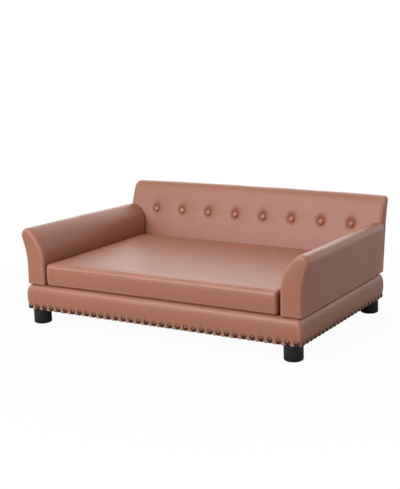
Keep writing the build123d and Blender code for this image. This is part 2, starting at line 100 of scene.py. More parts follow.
class LeatherLook(bpy.types.PropertyGroup):
    base: colour_value("Leather", "Main colour of the leather", (0.337, 0.134, 0.078))
    # Painted shade: this colour darkens the grain's creases and the hollows.
    shade: colour_value("Shaded leather", "Colour in creases and seams", (0.20, 0.07, 0.042))
    worn: colour_value("Worn leather", "Colour along rubbed edges", (0.47, 0.22, 0.15))
    pebble: length("Grain size", "Size of one pebble of the grain", 0.0013)
    roughness: share_value("Roughness", "How dull the leather is", 0.35)
    specular: share_value("Specular", "How much the leather reflects", 0.38)


class PlinthSizes(bpy.types.PropertyGroup):
    corner: length("Corner", "Radius of the upright corners", 0.011)
    front_tacks: bpy.props.IntProperty(name="Front tacks", description="Tacks in front", default=35)
    side_tacks: bpy.props.IntProperty(name="Side tacks", description="Tacks per end", default=23)
    front_end: length("Front row inset", "From the corner to the first tack", 0.01445)
    side_end: length("Side row inset", "From the corner to an end's first tack", 0.0193)
    tack_height: length("Tack height", "Tack centres above the plinth's underside", 0.0083)
    tack_radius: length("Tack radius", "Radius of a tack's head", 0.0085)
    tack_rise: length("Tack rise", "Height of a tack's dome", 0.0046)
    tack_skirt: length("Tack skirt", "How deep a tack's rim sits in the leather", 0.0030)
    draw_in: length("Draw-in", "How far the tacked band is pulled in", 0.0035)
    pucker: length("Pucker", "Height of the folds between the tacks", 0.0012)
    dimple: length("Dimple", "How deep a tack presses the leather in", 0.0010)


class ArmSizes(bpy.types.PropertyGroup):
    width: length("Width", "Thickness at the foot of the arm", 0.069)
    setback: length("Setback", "From the plinth's end to the outer flank", 0.0025)
    straight: length("Upright", "Height of the upright inner flank", 0.0675)
    inner_flare: length("Inner flare", "Radius of the inner flank", 0.120)
    outer_flare: length("Outer flare", "Radius of the outer flank", 0.230)
    roll: length("Roll", "Radius of the rolled top", 0.022)
    roll_inset: length("Roll inset", "From the outer flank to the roll's centre", 0.0025)
    fall: angle("Fall", "How much the top falls to the rear", 1.5)
    edge: length("Front edge", "Rounding round the front panel", 0.011)
    rear_edge: length("Rear edge", "Rounding at the backrest, across the arm", 0.009)
    rear_run: length("Rear run", "Rounding at the backrest, along the arm", 0.010)
    slimmer: length("Slimmer front", "How far the inner side is pulled in in front", 0.004)
    fuller: length("Fuller rear", "How far the padding swells inward at the rear", 0.006)
    fuller_roll: length("Fuller roll", "How much further the roll swells there", 0.003)
    upright: length("Upright rear", "How far the roll stands further in there", 0.0112)


class BackSizes(bpy.types.PropertyGroup):
    rake: angle("Rake", "Lean of the face", 17)
    lean: angle("Rear lean", "Lean of the rear", 8)
    seat: length("Foot", "From the plinth's rear to the backrest's face", 0.0525)
    thickness: length("Thickness", "Thickness at the foot", 0.065)
    front_edge: length("Front edge", "Rounding from the face into the top", 0.018)
    rear_edge: length("Rear edge", "Rounding from the top into the rear", 0.010)
    roll_back: length("Roll back", "How far the top rolls back over the face", 0.013)
    sag: length("Sag", "How far the top sinks below the frame's full height", 0.003)
    crown: length("Crown", "Rise of the top's middle over its ends", 0.003)
    end_edge: length("End edge", "Rounding of the upright edges", 0.007)
    corner: length("Corner", "Radius of the upper corners from the front", 0.013)
    buttons: bpy.props.IntProperty(name="Buttons", description="Buttons in the row", default=8)
    button_pitch: length("Button pitch", "From button to button", 0.10257)
    button_rise: length("Button height", "Button row above the plinth", 0.145)
    button_radius: length("Button radius", "Radius of a covered button", 0.0092)
    tuft_depth: length("Tuft depth", "How deep a button pulls the padding in", 0.0076)


class CushionSizes(bpy.types.PropertyGroup):
    edge: length("Edge", "Rounding of the seamed edge", 0.010)
    corner: length("Corner", "Radius of the corners from above", 0.012)
    crown: length("Crown", "Rise of the top over its edges", 0.003)
    swell: length("Swell", "Most that the filling may push the leather out", 0.004)
    wider: length("Wider front", "How much each side stands out at the front", 0.0035)
    narrower: length("Narrower rear", "How much each side is drawn in there", 0.0055)


class StageLook(bpy.types.PropertyGroup):
    azimuth: angle("Azimuth", "Camera round the sofa", 31.77)
    elevation: angle("Elevation", "Camera above the horizon", 12.296)
    tilt: angle("Tilt", "Camera turned about its own axis", -1.938)
    distance: length("Distance", "Camera from the aim point", 3.36028)
    lens: number("Lens", "Focal length on a 36 mm frame", 81.05, "CAMERA")
    key: number("Key light", "Power of the main softbox", 158.0, "POWER")
    rim: number("Rim light", "Power of the softbox behind the sofa", 38.0, "POWER")
    top: number("Top light", "Power of the softbox overhead", 24.0, "POWER")
    fill: number("Fill light", "Power of the fill softbox", 8.5, "POWER")
    room: number("Room light", "Level of the pale room", 0.37)


class SofaSizes(bpy.types.PropertyGroup):
    leather: bpy.props.PointerProperty(type=LeatherLook)
    plinth: bpy.props.PointerProperty(type=PlinthSizes)
    arm: bpy.props.PointerProperty(type=ArmSizes)
    back: bpy.props.PointerProperty(type=BackSizes)
    cushion: bpy.props.PointerProperty(type=CushionSizes)
    stage: bpy.props.PointerProperty(type=StageLook)


# Shared node groups and the finishes built from them


def new_group(name, inputs, outputs):
    """An empty shader group of float sockets: its tree, given values and results."""
    tree = bpy.data.node_groups.new(name, "ShaderNodeTree")
    for label, default in inputs.items():
        socket = tree.interface.new_socket(label, in_out="INPUT", socket_type="NodeSocketFloat")
        socket.default_value = default
    for label in outputs:
        tree.interface.new_socket(label, in_out="OUTPUT", socket_type="NodeSocketFloat")
    given = tree.nodes.new("NodeGroupInput").outputs
    return tree, given, tree.nodes.new("NodeGroupOutput").inputs


def fill_inputs(tree, node, inputs):
    """Sets a node's inputs: a socket is linked, anything else is a value. Gives its outputs."""
    for key, value in inputs.items():
        if isinstance(value, bpy.types.NodeSocket):
            tree.links.new(value, node.inputs[key])
        else:
            node.inputs[key].default_value = value
    return node.outputs


def add_node(tree, kind, inputs, **settings):
    """Adds a node with its settings and inputs, and gives its outputs."""
    node = tree.nodes.new(kind)
    for key, value in settings.items():
        setattr(node, key, value)
    return fill_inputs(tree, node, inputs)


def object_place(tree):
    """The place on the object, in metres."""
    return add_node(tree, "ShaderNodeTexCoord", {})["Object"]


def maths(tree, operation, *values):
    """One sum with values or sockets."""
    return add_node(tree, "ShaderNodeMath", dict(enumerate(values)), operation=operation)[0]


def smooth_range(tree, value, low, high, start=0.0):
    """A value spread smoothly from low and high to start and 1."""
    inputs = {"Value": value, "From Min": low, "From Max": high, "To Min": start}
    return add_node(tree, "ShaderNodeMapRange", inputs, interpolation_type="SMOOTHSTEP")["Result"]


def grain_group():
    """Pebbled leather grain: a height for the bump and a mask of the creases between pebbles."""
    found = bpy.data.node_groups.get("Leather grain")
    if found:
        return found
    tree, given, result = new_group(
        "Leather grain", {"Cells": 700.0, "Softness": 0.6}, ("Height", "Crease")
    )
    place = object_place(tree)
    noise_kind, vector_kind = "ShaderNodeTexNoise", "ShaderNodeVectorMath"
    warp = add_node(tree, noise_kind, {"Vector": place, "Scale": 210.0, "Detail": 2.0})
    shift = add_node(tree, vector_kind, {0: warp["Color"], "Scale": 0.0014}, operation="SCALE")
    moved = add_node(tree, vector_kind, {0: place, 1: shift[0]}, operation="ADD")
    cell_inputs = {"Vector": moved[0], "Scale": given["Cells"]}
    cells = add_node(tree, "ShaderNodeTexVoronoi", cell_inputs, feature="DISTANCE_TO_EDGE")
    pebble = smooth_range(tree, cells["Distance"], 0.0, given["Softness"])
    fine = add_node(tree, noise_kind, {"Vector": place, "Scale": 2400.0, "Detail": 3.0})
    tree.links.new(maths(tree, "MULTIPLY_ADD", fine["Fac"], 0.22, pebble), result["Height"])
    tree.links.new(maths(tree, "SUBTRACT", 1.0, pebble), result["Crease"])
    return tree


def mottle_group():
    """Slow cloudy change over a surface, and a finer one, both from 0 to 1."""
    found = bpy.data.node_groups.get("Mottle")
    if found:
        return found
    tree, given, result = new_group("Mottle", {"Broad": 7.0, "Close": 60.0}, ("Clouds", "Specks"))
    place = object_place(tree)
    for size, label, detail in (("Broad", "Clouds", 3.0), ("Close", "Specks", 4.0)):
        inputs = {"Vector": place, "Scale": given[size], "Detail": detail, "Roughness": 0.55}
        cloud = add_node(tree, "ShaderNodeTexNoise", inputs)
        tree.links.new(smooth_range(tree, cloud["Fac"], 0.32, 0.68), result[label])
    return tree


def edge_group():
    """Masks of the convex edges, where a surface rubs, and of its hollows, which take painted
    shade.
    """
    found = bpy.data.node_groups.get("Edges")
    if found:
        return found
    tree, given, result = new_group("Edges", {"Spread": 0.06}, ("Rubbed", "Shaded hollow"))
    shape = add_node(tree, "ShaderNodeNewGeometry", {})
    # The hollow mask darkens concave places as painted shade.
    for label, sign in (("Rubbed", 1.0), ("Shaded hollow", -1.0)):
        end = maths(tree, "MULTIPLY_ADD", given["Spread"], sign, 0.5)
        tree.links.new(smooth_range(tree, shape["Pointiness"], 0.5, end), result[label])
    return tree


def place_group(tree, group, **values):
    """One shared group in a material, with that material's own values: its outputs."""
    node = tree.nodes.new("ShaderNodeGroup")
    node.node_tree = group
    return fill_inputs(tree, node, values)


def tint(tree, share, low, high):
    """A colour that runs from low to high with a share. Low may be a socket."""
    node = tree.nodes.new("ShaderNodeMix")
    node.data_type = "RGBA"
    if isinstance(low, tuple):
        low = (*low, 1)
    return fill_inputs(tree, node, {"Factor": share, "A": low, "B": (*high, 1)})["Result"]


def new_material(name, roughness, metallic=0.0, specular=0.5):
    """A material, its tree and its shader with plain values set."""
    material = bpy.data.materials.new(name)
    material.use_nodes = True
    shader = material.node_tree.nodes["Principled BSDF"]
    values = {"Roughness": roughness, "Metallic": metallic, "Specular IOR Level": specular}
    fill_inputs(material.node_tree, shader, values)
    return material, material.node_tree, shader


def finish(tree, shader, colour, height, strength, distance):
    """The shader's colour, and relief from a height."""
    inputs = {"Strength": strength, "Distance": distance, "Height": height}
    relief = add_node(tree, "ShaderNodeBump", inputs)["Normal"]
    fill_inputs(tree, shader, {"Base Color": colour, "Normal": relief})


def vary_gloss(tree, shader, specks, low, high):
    """Roughness that changes with the specks."""
    inputs = {"Value": specks, "To Min": low, "To Max": high}
    gloss = add_node(tree, "ShaderNodeMapRange", inputs)["Result"]
    tree.links.new(gloss, shader.inputs["Roughness"])


def blend_surface(tree, output, share, first, second):
    """Two shaders blended into the tree's output."""
    blend = add_node(tree, "ShaderNodeMixShader", {0: share, 1: first, 2: second})[0]
    tree.links.new(blend, tree.nodes[output].inputs["Surface"])


def leather_material(name="Brown leather", painted_light_tone=1.0, polish=0.0):
    """Smooth brown upholstery leather with a fine pebble, soft clouds, rubbed edges, and painted
    shade in its creases and hollows.
    """
    found = bpy.data.materials.get(name)
    if found:
        return found
    look = bpy.context.scene.sofa_bed.leather
    roughness = look.roughness - polish
    material, tree, shader = new_material(name, roughness, specular=look.specular)
    grain = place_group(tree, grain_group(), Cells=1 / look.pebble, Softness=0.35)
    clouds = place_group(tree, mottle_group(), Broad=5.0, Close=46.0)
    edges = place_group(tree, edge_group(), Spread=0.035)
    # A tone above 1 lightens the base as a painted highlight.
    base = tuple(painted_light_tone * channel for channel in look.base)
    deep = tuple(0.955 * channel for channel in base)
    colour = tint(tree, clouds["Clouds"], deep, base)
    # Grain creases and hollows take the shaded colour as painted shade. Rubbed edges take the worn
    # colour as wear.
    wear_and_painted_shade = (
        (grain["Crease"], 0.16, look.shade),
        (edges["Rubbed"], 0.55, look.worn),
        (edges["Shaded hollow"], 0.8, look.shade),
    )
    for mask, share, overlay_colour in wear_and_painted_shade:
        colour = tint(tree, maths(tree, "MULTIPLY", mask, share), colour, overlay_colour)
    vary_gloss(tree, shader, clouds["Specks"], roughness - 0.015, roughness + 0.02)
    finish(tree, shader, colour, grain["Height"], 0.22, 0.00025)
    return material


def mottled_material(
    name, low, high, roughness, metallic=0.0, broad=12.0, close=300.0, relief=0.0002, specular=0.5
):
    """A plain finish with cloudy colour and a fine tooth, for moulded, cast and sheet parts."""
    found = bpy.data.materials.get(name)
    if found:
        return found
    material, tree, shader = new_material(name, roughness, metallic, specular)
    clouds = place_group(tree, mottle_group(), Broad=broad, Close=close)
    edges = place_group(tree, edge_group(), Spread=0.08)
    bright = tuple(min(1, 1.8 * channel + 0.01) for channel in high)
    rubbed = maths(tree, "MULTIPLY", edges["Rubbed"], 0.5)
    colour = tint(tree, rubbed, tint(tree, clouds["Clouds"], low, high), bright)
    vary_gloss(tree, shader, clouds["Specks"], roughness - 0.06, roughness + 0.06)
    finish(tree, shader, colour, clouds["Specks"], 0.5, relief)
    return material


def wood_material(name, low, high, stretch, rings):
    """Sawn wood: rings drawn out along one axis, with pores."""
    found = bpy.data.materials.get(name)
    if found:
        return found
    material, tree, shader = new_material(name, 0.7)
    inputs = {"Vector": object_place(tree), "Scale": stretch}
    spot = add_node(tree, "ShaderNodeMapping", inputs)["Vector"]
    inputs = {"Vector": spot, "Scale": rings, "Distortion": 6.0, "Detail": 3.0}
    waves = add_node(tree, "ShaderNodeTexWave", inputs, wave_type="RINGS")
    pores = add_node(tree, "ShaderNodeTexNoise", {"Vector": spot, "Scale": 260.0, "Detail": 4.0})
    finish(tree, shader, tint(tree, waves["Fac"], low, high), pores["Fac"], 0.4, 0.0003)
    return material


def woven_material(name, low, high, threads):
    """Woven cloth: crossing threads in colour and relief."""
    found = bpy.data.materials.get(name)
    if found:
        return found
    material, tree, shader = new_material(name, 0.85)
    inputs = {"Vector": object_place(tree), "Scale": threads}
    across, along, upright = (
        add_node(tree, "ShaderNodeTexWave", inputs, bands_direction=axis)["Fac"] for axis in "XYZ"
    )
    weave = maths(tree, "MAXIMUM", maths(tree, "MAXIMUM", across, along), upright)
    finish(tree, shader, tint(tree, weave, low, high), weave, 0.5, 0.0002)
    return material


def foam_material():
    """Open-celled upholstery foam."""
    found = bpy.data.materials.get("Foam")
    if found:
        return found
    material, tree, shader = new_material("Foam", 0.95)
    inputs = {"Vector": object_place(tree), "Scale": 900.0}
    cells = add_node(tree, "ShaderNodeTexVoronoi", inputs)["Distance"]
    colour = tint(tree, cells, (0.55, 0.46, 0.28), (0.86, 0.78, 0.58))
    finish(tree, shader, colour, cells, 0.6, 0.0004)
    return material


# Helpers for points and meshes


def steps(low, high, count):
    """Evenly spaced numbers from low to high, both ends included."""
    return [low + (high - low) * index / (count - 1) for index in range(count)]


def line(start, end, count):
    """Evenly spaced points on a line, both ends included."""
    return [
        tuple(a + (b - a) * share for a, b in zip(start, end)) for share in steps(0, 1, count)
    ]


def arc(centre, radius, start, end, count):
    """Points on an arc, both ends included."""
    return [
        (centre[0] + radius * math.cos(turn), centre[1] + radius * math.sin(turn))
        for turn in steps(start, end, count)
    ]


def smooth_share(value, low, high):
    """0 below low, 1 above high, smooth between."""
    share = min(1.0, max(0.0, (value - low) / (high - low)))
    return share * share * (3 - 2 * share)


def bell(value, width):
    """1 at nothing, falling to nothing some widths away."""
    return math.exp(-((value / width) ** 2))


def ripple(place, size, seed):
    """Smooth noise from -1 to 1 over a surface."""
    return noise.noise(Vector(place) / size + Vector((seed, 0.37 * seed, -0.7 * seed)))


def pick(piece=None):
    """Object mode with only this piece selected and active, or with nothing selected."""
    if bpy.context.object and bpy.context.object.mode != "OBJECT":
        bpy.ops.object.mode_set(mode="OBJECT")
    bpy.ops.object.select_all(action="DESELECT")
    if piece:
        piece.select_set(True)
        bpy.context.view_layer.objects.active = piece


def edit_all():
    """Edit mode with the whole active model selected."""
    bpy.ops.object.mode_set(mode="EDIT")
    bpy.ops.mesh.select_all(action="SELECT")


def finished(piece, body, material, replaced=()):
    """The piece's finish, its body and what it stands for."""
    piece.data.materials.clear()
    piece.data.materials.append(material)
    if replaced:
        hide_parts(*replaced)
    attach(piece, body)


def piece_from_bmesh(name, shape):
    """A linked object of a bmesh, its faces turned outward and smooth."""
    bmesh.ops.recalc_face_normals(shape, faces=shape.faces)
    for face in shape.faces:
        face.smooth = True
    mesh = bpy.data.meshes.new(name)
    shape.to_mesh(mesh)
    shape.free()
    piece = bpy.data.objects.new(name, mesh)
    bpy.context.scene.collection.objects.link(piece)
    return piece


def skin(name, rings):
    """A closed padded form from rings of as many points each, its two ends filled."""
    shape = bmesh.new()
    rows = [[shape.verts.new(point) for point in ring] for ring in rings]
    count = len(rows[0])
    for row, following in zip(rows, rows[1:]):
        for index in range(count):
            after = (index + 1) % count
            shape.faces.new((row[index], row[after], following[after], following[index]))
    shape.faces.new(rows[0])
    shape.faces.new(rows[-1])
    return piece_from_bmesh(name, shape)


def repeated(name, model, matrices, keep=False):
    """One piece made of copies of a model, which is then taken away unless it is kept."""
    shape = bmesh.new()
    for matrix in matrices:
        known = len(shape.verts)
        shape.from_mesh(model.data)
        shape.verts.ensure_lookup_table()
        bmesh.ops.transform(shape, matrix=matrix, verts=shape.verts[known:])
    if not keep:
        bpy.data.objects.remove(model)
    return piece_from_bmesh(name, shape)


def set_outward(place, along, outward):
    """The matrix that sets a model at a place, its X along and its Z outward."""
    along, outward = Vector(along), Vector(outward)
    turn = Matrix((along, outward.cross(along), outward)).transposed().to_4x4()
    return Matrix.Translation(place) @ turn


def soft_bar(size, soft, segments=2):
    """A bar round the origin with soft edges, as a model to copy."""
    pick()
    bpy.ops.mesh.primitive_cube_add(size=1.0)
    edit_all()
    bpy.ops.transform.resize(value=size)
    bpy.ops.mesh.bevel(offset=soft, segments=segments, affect="EDGES")
    bpy.ops.object.mode_set(mode="OBJECT")
    return bpy.context.object


def flat_ball(segments, rings, radius, share, halved=False):
    """A ball or its upper half, flattened to a share of its height, as a model to copy."""
    pick()
    bpy.ops.mesh.primitive_uv_sphere_add(segments=segments, ring_count=rings, radius=radius)
    edit_all()
    if halved:
        bpy.ops.mesh.bisect(plane_co=(0, 0, 0), plane_no=(0, 0, 1), clear_inner=True, use_fill=True)
        bpy.ops.mesh.select_all(action="SELECT")
    bpy.ops.transform.resize(value=(1, 1, share), center_override=(0, 0, 0))
    bpy.ops.object.mode_set(mode="OBJECT")
    return bpy.context.object


def sew_seam(piece, point, normal, width, depth):
    """A sewn seam where a plane meets the piece: the skin is cut beside it and drawn in."""
    shape = bmesh.new()
    shape.from_mesh(piece.data)
    normal = Vector(normal).normalized()
    point = Vector(point)
    for side in (-1, 1, 0):
        bmesh.ops.bisect_plane(
            shape, geom=shape.verts[:] + shape.edges[:] + shape.faces[:], dist=1e-6,
            plane_co=point + normal * side * width, plane_no=normal,
        )
    shape.normal_update()
    for vertex in shape.verts:
        if abs((vertex.co - point).dot(normal)) < 2e-6:
            inward = vertex.normal - normal * vertex.normal.dot(normal)
            if inward.length > 1e-4:
                vertex.co -= inward.normalized() * depth
    shape.to_mesh(piece.data)
    shape.free()
    piece.data.update()


def push_skin(piece, shift):
    """Every point moved along its normal by shift(place, normal)."""
    mesh = piece.data
    mesh.update()
    moves = [v.normal * shift(v.co, v.normal) for v in mesh.vertices]
    for vertex, move in zip(mesh.vertices, moves):
        vertex.co += move
    mesh.update()


# Plinth: its section as height over the underside and inset, in millimetres

PLINTH_PROFILE = (
    (0.0, 60.0), (0.0, 26.0), (0.0, 12.0), (0.0, 7.5), (0.35, 5.3), (1.3, 3.9), (2.8, 3.2),
    (4.6, 3.1), (6.6, 3.3), (8.4, 3.5), (10.4, 3.3), (12.8, 2.7), (15.5, 2.0), (19.0, 1.3),
    (23.5, 0.7), (29.0, 0.2), (35.0, 0.0), (41.0, 0.0), (47.0, 0.3), (52.5, 0.8), (57.5, 1.5),
    (62.0, 2.5), (66.0, 3.8), (69.2, 5.5), (71.8, 7.8), (73.6, 10.6), (74.8, 14.0), (75.3, 18.0),
    (75.4, 25.0), (75.4, 60.0),
)


def rounded_rectangle(half_x, half_y, corner, run, arc_points):
    """Points round a rectangle, anticlockwise, near one run apart, with rounded corners."""
    bends = []
    for quarter, (sign_x, sign_y) in enumerate(((1, 1), (-1, 1), (-1, -1), (1, -1))):
        centre = (sign_x * (half_x - corner), sign_y * (half_y - corner))
        start = quarter * math.pi / 2
        bends.append(arc(centre, corner, start, start + math.pi / 2, arc_points + 1))
    points = []
    for bend, following in zip(bends, bends[1:] + bends[:1]):
        count = max(2, round(math.dist(bend[-1], following[0]) / run))
        points += bend + line(bend[-1], following[0], count + 1)[1:-1]
    return points


class SOFA_OT_plinth(bpy.types.Operator):
    """Padded plinth: drawn in along the tacks, puckered between them, rolled into the top"""

    bl_idname = "sofa.plinth"
    bl_label = "Plinth"

    def execute(self, context):
        sizes = context.scene.sofa_bed.plinth
        point_run, corner_points = 0.0034, 5
        outline = rounded_rectangle(HALF_X, HALF_Y, sizes.corner, point_run, corner_points)
        rings = []
        for height, draw in PLINTH_PROFILE:
            level = PLINTH_LOW.z + height / 1000
            share_x, share_y = ((half - draw / 1000) / half for half in (HALF_X, HALF_Y))
            rings.append([Vector((x * share_x, MIDDLE_Y + y * share_y, level)) for x, y in outline])
        piece = skin("plinth_cover", rings)
        front_pitch = 2 * (HALF_X - sizes.front_end) / (sizes.front_tacks - 1)
        side_pitch = 2 * (HALF_Y - sizes.side_end) / (sizes.side_tacks - 1)
        tack_line = PLINTH_LOW.z + sizes.tack_height
        hidden_top, corner_reach, dimple_width, fold_reach, swell_reach = (
            0.004, 0.012, 0.0076, 0.012, 0.03
        )

        def pucker(place, normal):
            """Unevenness of the padding, folds between the tacks and a dimple at each one."""
            if place.z > PLINTH_TOP - hidden_top:
                return -0.0002
            shift = 0.0007 * ripple(place, 0.085, 3) + 0.00025 * ripple(place, 0.02, 9)
            y = place.y - MIDDLE_Y
            if normal.y < -0.5 or y < corner_reach - HALF_Y:
                along, pitch, count = place.x, front_pitch, sizes.front_tacks
            elif y < HALF_Y - corner_reach:
                along, pitch, count = y, side_pitch, sizes.side_tacks
            else:
                return shift
            phase = along / pitch + (count - 1) / 2
            nearest = min(count - 1, max(0, round(phase)))
            above = max(0.0, place.z - tack_line)
            gap = math.hypot((phase - nearest) * pitch, place.z - tack_line)
            fold = math.cos(2 * math.pi * phase) * math.exp(-above / fold_reach)
            shift -= sizes.pucker * fold + sizes.dimple * bell(gap, dimple_width)
            return shift + 0.0006 * math.exp(-above / swell_reach)

        push_skin(piece, pucker)
        finished(piece, "sofa", leather_material(), ("base_cover", "base_foam"))
        return {"FINISHED"}


class SOFA_OT_tacks(bpy.types.Operator):
    """Rows of domed tacks along the plinth's front and both ends"""

    bl_idname = "sofa.tacks"
    bl_label = "Tacks"

    def execute(self, context):
        sizes = context.scene.sofa_bed.plinth
        flat = sizes.tack_rise / sizes.tack_radius
        head = flat_ball(14, 8, sizes.tack_radius, flat, halved=True)
        for vertex in head.data.vertices:
            if vertex.co.z < sizes.tack_rise * 0.1:
                vertex.co.z -= sizes.tack_skirt
        bronze = mottled_material(
            "Antique bronze", (0.030, 0.017, 0.011), (0.085, 0.048, 0.031), 0.32, 1.0, 90.0, 900.0
        )
        front = (sizes.front_tacks, HALF_X - sizes.front_end, HALF_Y)
        end = (sizes.side_tacks, HALF_Y - sizes.side_end, HALF_X)
        rows = (
            ("tacks_front", (0, -1, 0), front),
            ("tacks_right", (1, 0, 0), end),
            ("tacks_left", (-1, 0, 0), end),
        )
        for name, facing, (count, half_row, reach) in rows:
            outward = Vector(facing)
            along = Vector((0, 0, 1)).cross(outward)
            middle = Vector((0, MIDDLE_Y, PLINTH_LOW.z + sizes.tack_height))
            middle += outward * (reach - sizes.draw_in)
            matrices = [
                set_outward(middle + along * place, along, outward)
                for place in steps(-half_row, half_row, count)
            ]
            piece = repeated(name + "_heads", head, matrices, keep=True)
            finished(piece, "sofa", bronze, (name,))
        bpy.data.objects.remove(head)
        return {"FINISHED"}


# Arms


def arm_outline(inset, sizes):
    """Closed outline of the right arm from the front, with the same points at any inset."""
    outer = HALF_X - sizes.setback
    inner = outer - sizes.width
    roll_x = outer - sizes.roll_inset
    inner_centre = (inner + sizes.inner_flare, sizes.straight)
    run = inner_centre[0] - roll_x
    rise = math.sqrt((sizes.inner_flare - sizes.roll) ** 2 - run**2)
    roll_centre = (roll_x, sizes.straight + rise)
    outer_run = outer + sizes.outer_flare - roll_x
    drop = math.sqrt((sizes.outer_flare + sizes.roll) ** 2 - outer_run**2)
    outer_centre = (roll_x + outer_run, roll_centre[1] - drop)
    inner_turn = math.atan2(rise, -run)
    outer_turn = math.atan2(-drop, outer_run)
    left, right, low = inner + inset, outer - inset, 0.3 * inset
    sole = 0.0035  # Rounding along the foot of the arm
    points = [(x, low) for x in steps(right - sole, left + sole, 12)]
    points += arc((left + sole, low + sole), sole, -math.pi / 2, -math.pi, 5)[1:]
    points += [(left, z) for z in steps(low + sole, inner_centre[1], 16)][1:]
    points += arc(inner_centre, sizes.inner_flare - inset, math.pi, inner_turn, 24)[1:]
    points += arc(roll_centre, sizes.roll - inset, inner_turn, outer_turn, 36)[1:]
    turns = (math.pi + outer_turn, math.pi)
    points += arc(outer_centre, sizes.outer_flare + inset, *turns, 26)[1:]
    points += [(right, z) for z in steps(outer_centre[1], low + sole, 10)][1:]
    points += arc((right - sole, low + sole), sole, 0, -math.pi / 2, 5)[1:-1]
    return points


class SOFA_OT_arms(bpy.types.Operator):
    """Flared arms: a soft front panel, a rolled top that falls to the rear, a raked rear end"""

    bl_idname = "sofa.arms"
    bl_label = "Arms"

    def execute(self, context):
        sizes = context.scene.sofa_bed.arm
        back = context.scene.sofa_bed.back
        front = ARM_FRONT
        foot = PLINTH_HIGH.y - back.seat
        slope = math.tan(back.rake)
        fall = math.tan(sizes.fall)
        outer = HALF_X - sizes.setback
        edge, rear_run = sizes.edge, sizes.rear_run
        lift, gap = 0.0003, 0.0006 / math.cos(back.rake)
        roll_foot, roll_full, flare_foot, flare_rise, past_outer = 0.06, 0.14, 0.052, 0.09, 0.012

        def filled(x, level, share):
            """Where the padding puts a point across the arm: slim in front, full at the rear."""
            rear = sizes.fuller + sizes.fuller_roll * smooth_share(level, roll_foot, roll_full)
            inward = (rear + sizes.slimmer) * share - sizes.slimmer
            flared = min(1.0, max(0.0, (level - flare_foot) / flare_rise)) ** 2
            turned = sizes.upright * flared * smooth_share(share, 0.1, 1.0)
            return x - inward * smooth_share(outer - x, -past_outer, sizes.width) - turned

        def ring(inset, depth, share=0, rear_gap=0):
            """One outline: depth behind the front, or a share of the way to the backrest."""
            points = []
            for x, level in arm_outline(inset, sizes):
                x = filled(x, level, share)
                start = front + depth + level * fall
                sinking = fall * smooth_share(level, 0.0, 0.05)
                end = foot + level * slope + front * sinking * slope - rear_gap
                end /= 1 + sinking * slope
                y = start + (end - start) * share
                points.append(Vector((x, y, PLINTH_TOP + level - (y - front) * sinking + lift)))
            return points

        rings = [ring(0.020, -0.0008), ring(0.016, -0.0006), ring(0.013, -0.0002)]
        for turn in steps(0, math.pi / 2, 7):
            rings.append(ring(edge * (1 - math.sin(turn)), edge * (1 - math.cos(turn))))
        rings += [ring(0, edge, share, gap + rear_run) for share in steps(0, 1, 76)[1:]]
        for turn in steps(0, math.pi / 2, 6)[1:]:
            draw = sizes.rear_edge * (1 - math.cos(turn))
            rings.append(ring(draw, edge, 1, gap + rear_run * (1 - math.sin(turn))))
        rings.append(ring(0.014, edge, 1, gap))
        for side, sign in (("right", 1), ("left", -1)):
            mirrored = [[Vector((sign * p.x, p.y, p.z)) for p in points] for points in rings]
            piece = skin(side + "_arm", mirrored)
            seed = 5 + sign

            def soften(place, normal):
                """Unevenness of the padding, less of it near both ends and none at the sole."""
                face = foot + (place.z - PLINTH_TOP) * slope
                near = min(
                    smooth_share(place.y - front, 0.0, 0.05),
                    smooth_share(face - place.y, 0.0, 0.04),
                )
                up = smooth_share(place.z - PLINTH_TOP, 0.002, 0.03)
                slow = 0.0011 * ripple(place, 0.11, seed) + 0.0003 * ripple(place, 0.03, seed)
                return (slow + 0.0004) * (0.25 + 0.75 * near) * up

            push_skin(piece, soften)
            seam = (0, front + edge + 0.0015, PLINTH_TOP)
            sew_seam(piece, seam, (0, 1, -fall), SEAM_WIDTH, 0.0006)
            replaced = (side + "_arm_cover", side + "_arm_foam")
            finished(piece, "sofa", leather_material(), replaced)
        return {"FINISHED"}


# Backrest


def back_place(x, rise, run, back):
    """A point of the wedge: along the sofa, above the plinth, behind the foot of the face."""
    return Vector((x, PLINTH_HIGH.y - back.seat + run, PLINTH_TOP + rise))


def button_row(back):
    """Where the buttons stand along the sofa."""
    return [(index - (back.buttons - 1) / 2) * back.button_pitch for index in range(back.buttons)]


def tuft_pull(x, rise, back):
    """How far the face is pulled in at a place, by the buttons and the padding between them."""
    tuft_width, hollow, hollow_width, fold_place, fold_width = 0.0118, 0.0024, 0.024, 0.018, 0.008
    valley, valley_width, valley_end, valley_fade = 0.0012, 0.030, 0.452, 0.06
    up = (rise - back.button_rise) / math.cos(back.rake)
    pull = valley * bell(up, valley_width) * smooth_share(valley_end - abs(x), 0.0, valley_fade)
    for index, button_x in enumerate(button_row(back)):
        across = x - button_x
        if abs(across) > 0.06 or abs(up) > 0.08:
            continue
        away = math.hypot(across, up / (1.45 if up > 0 else 1.1))
        pull += back.tuft_depth * math.exp(-((away / tuft_width) ** 2.4))
        pull += hollow * bell(away, hollow_width)
        turn = math.atan2(up, across)
        fold = math.cos(3 * turn + 1.7 * index) + 0.6 * math.cos(5 * turn - index)
        pull += 0.00022 * fold * bell(away - fold_place, fold_width)
    return pull


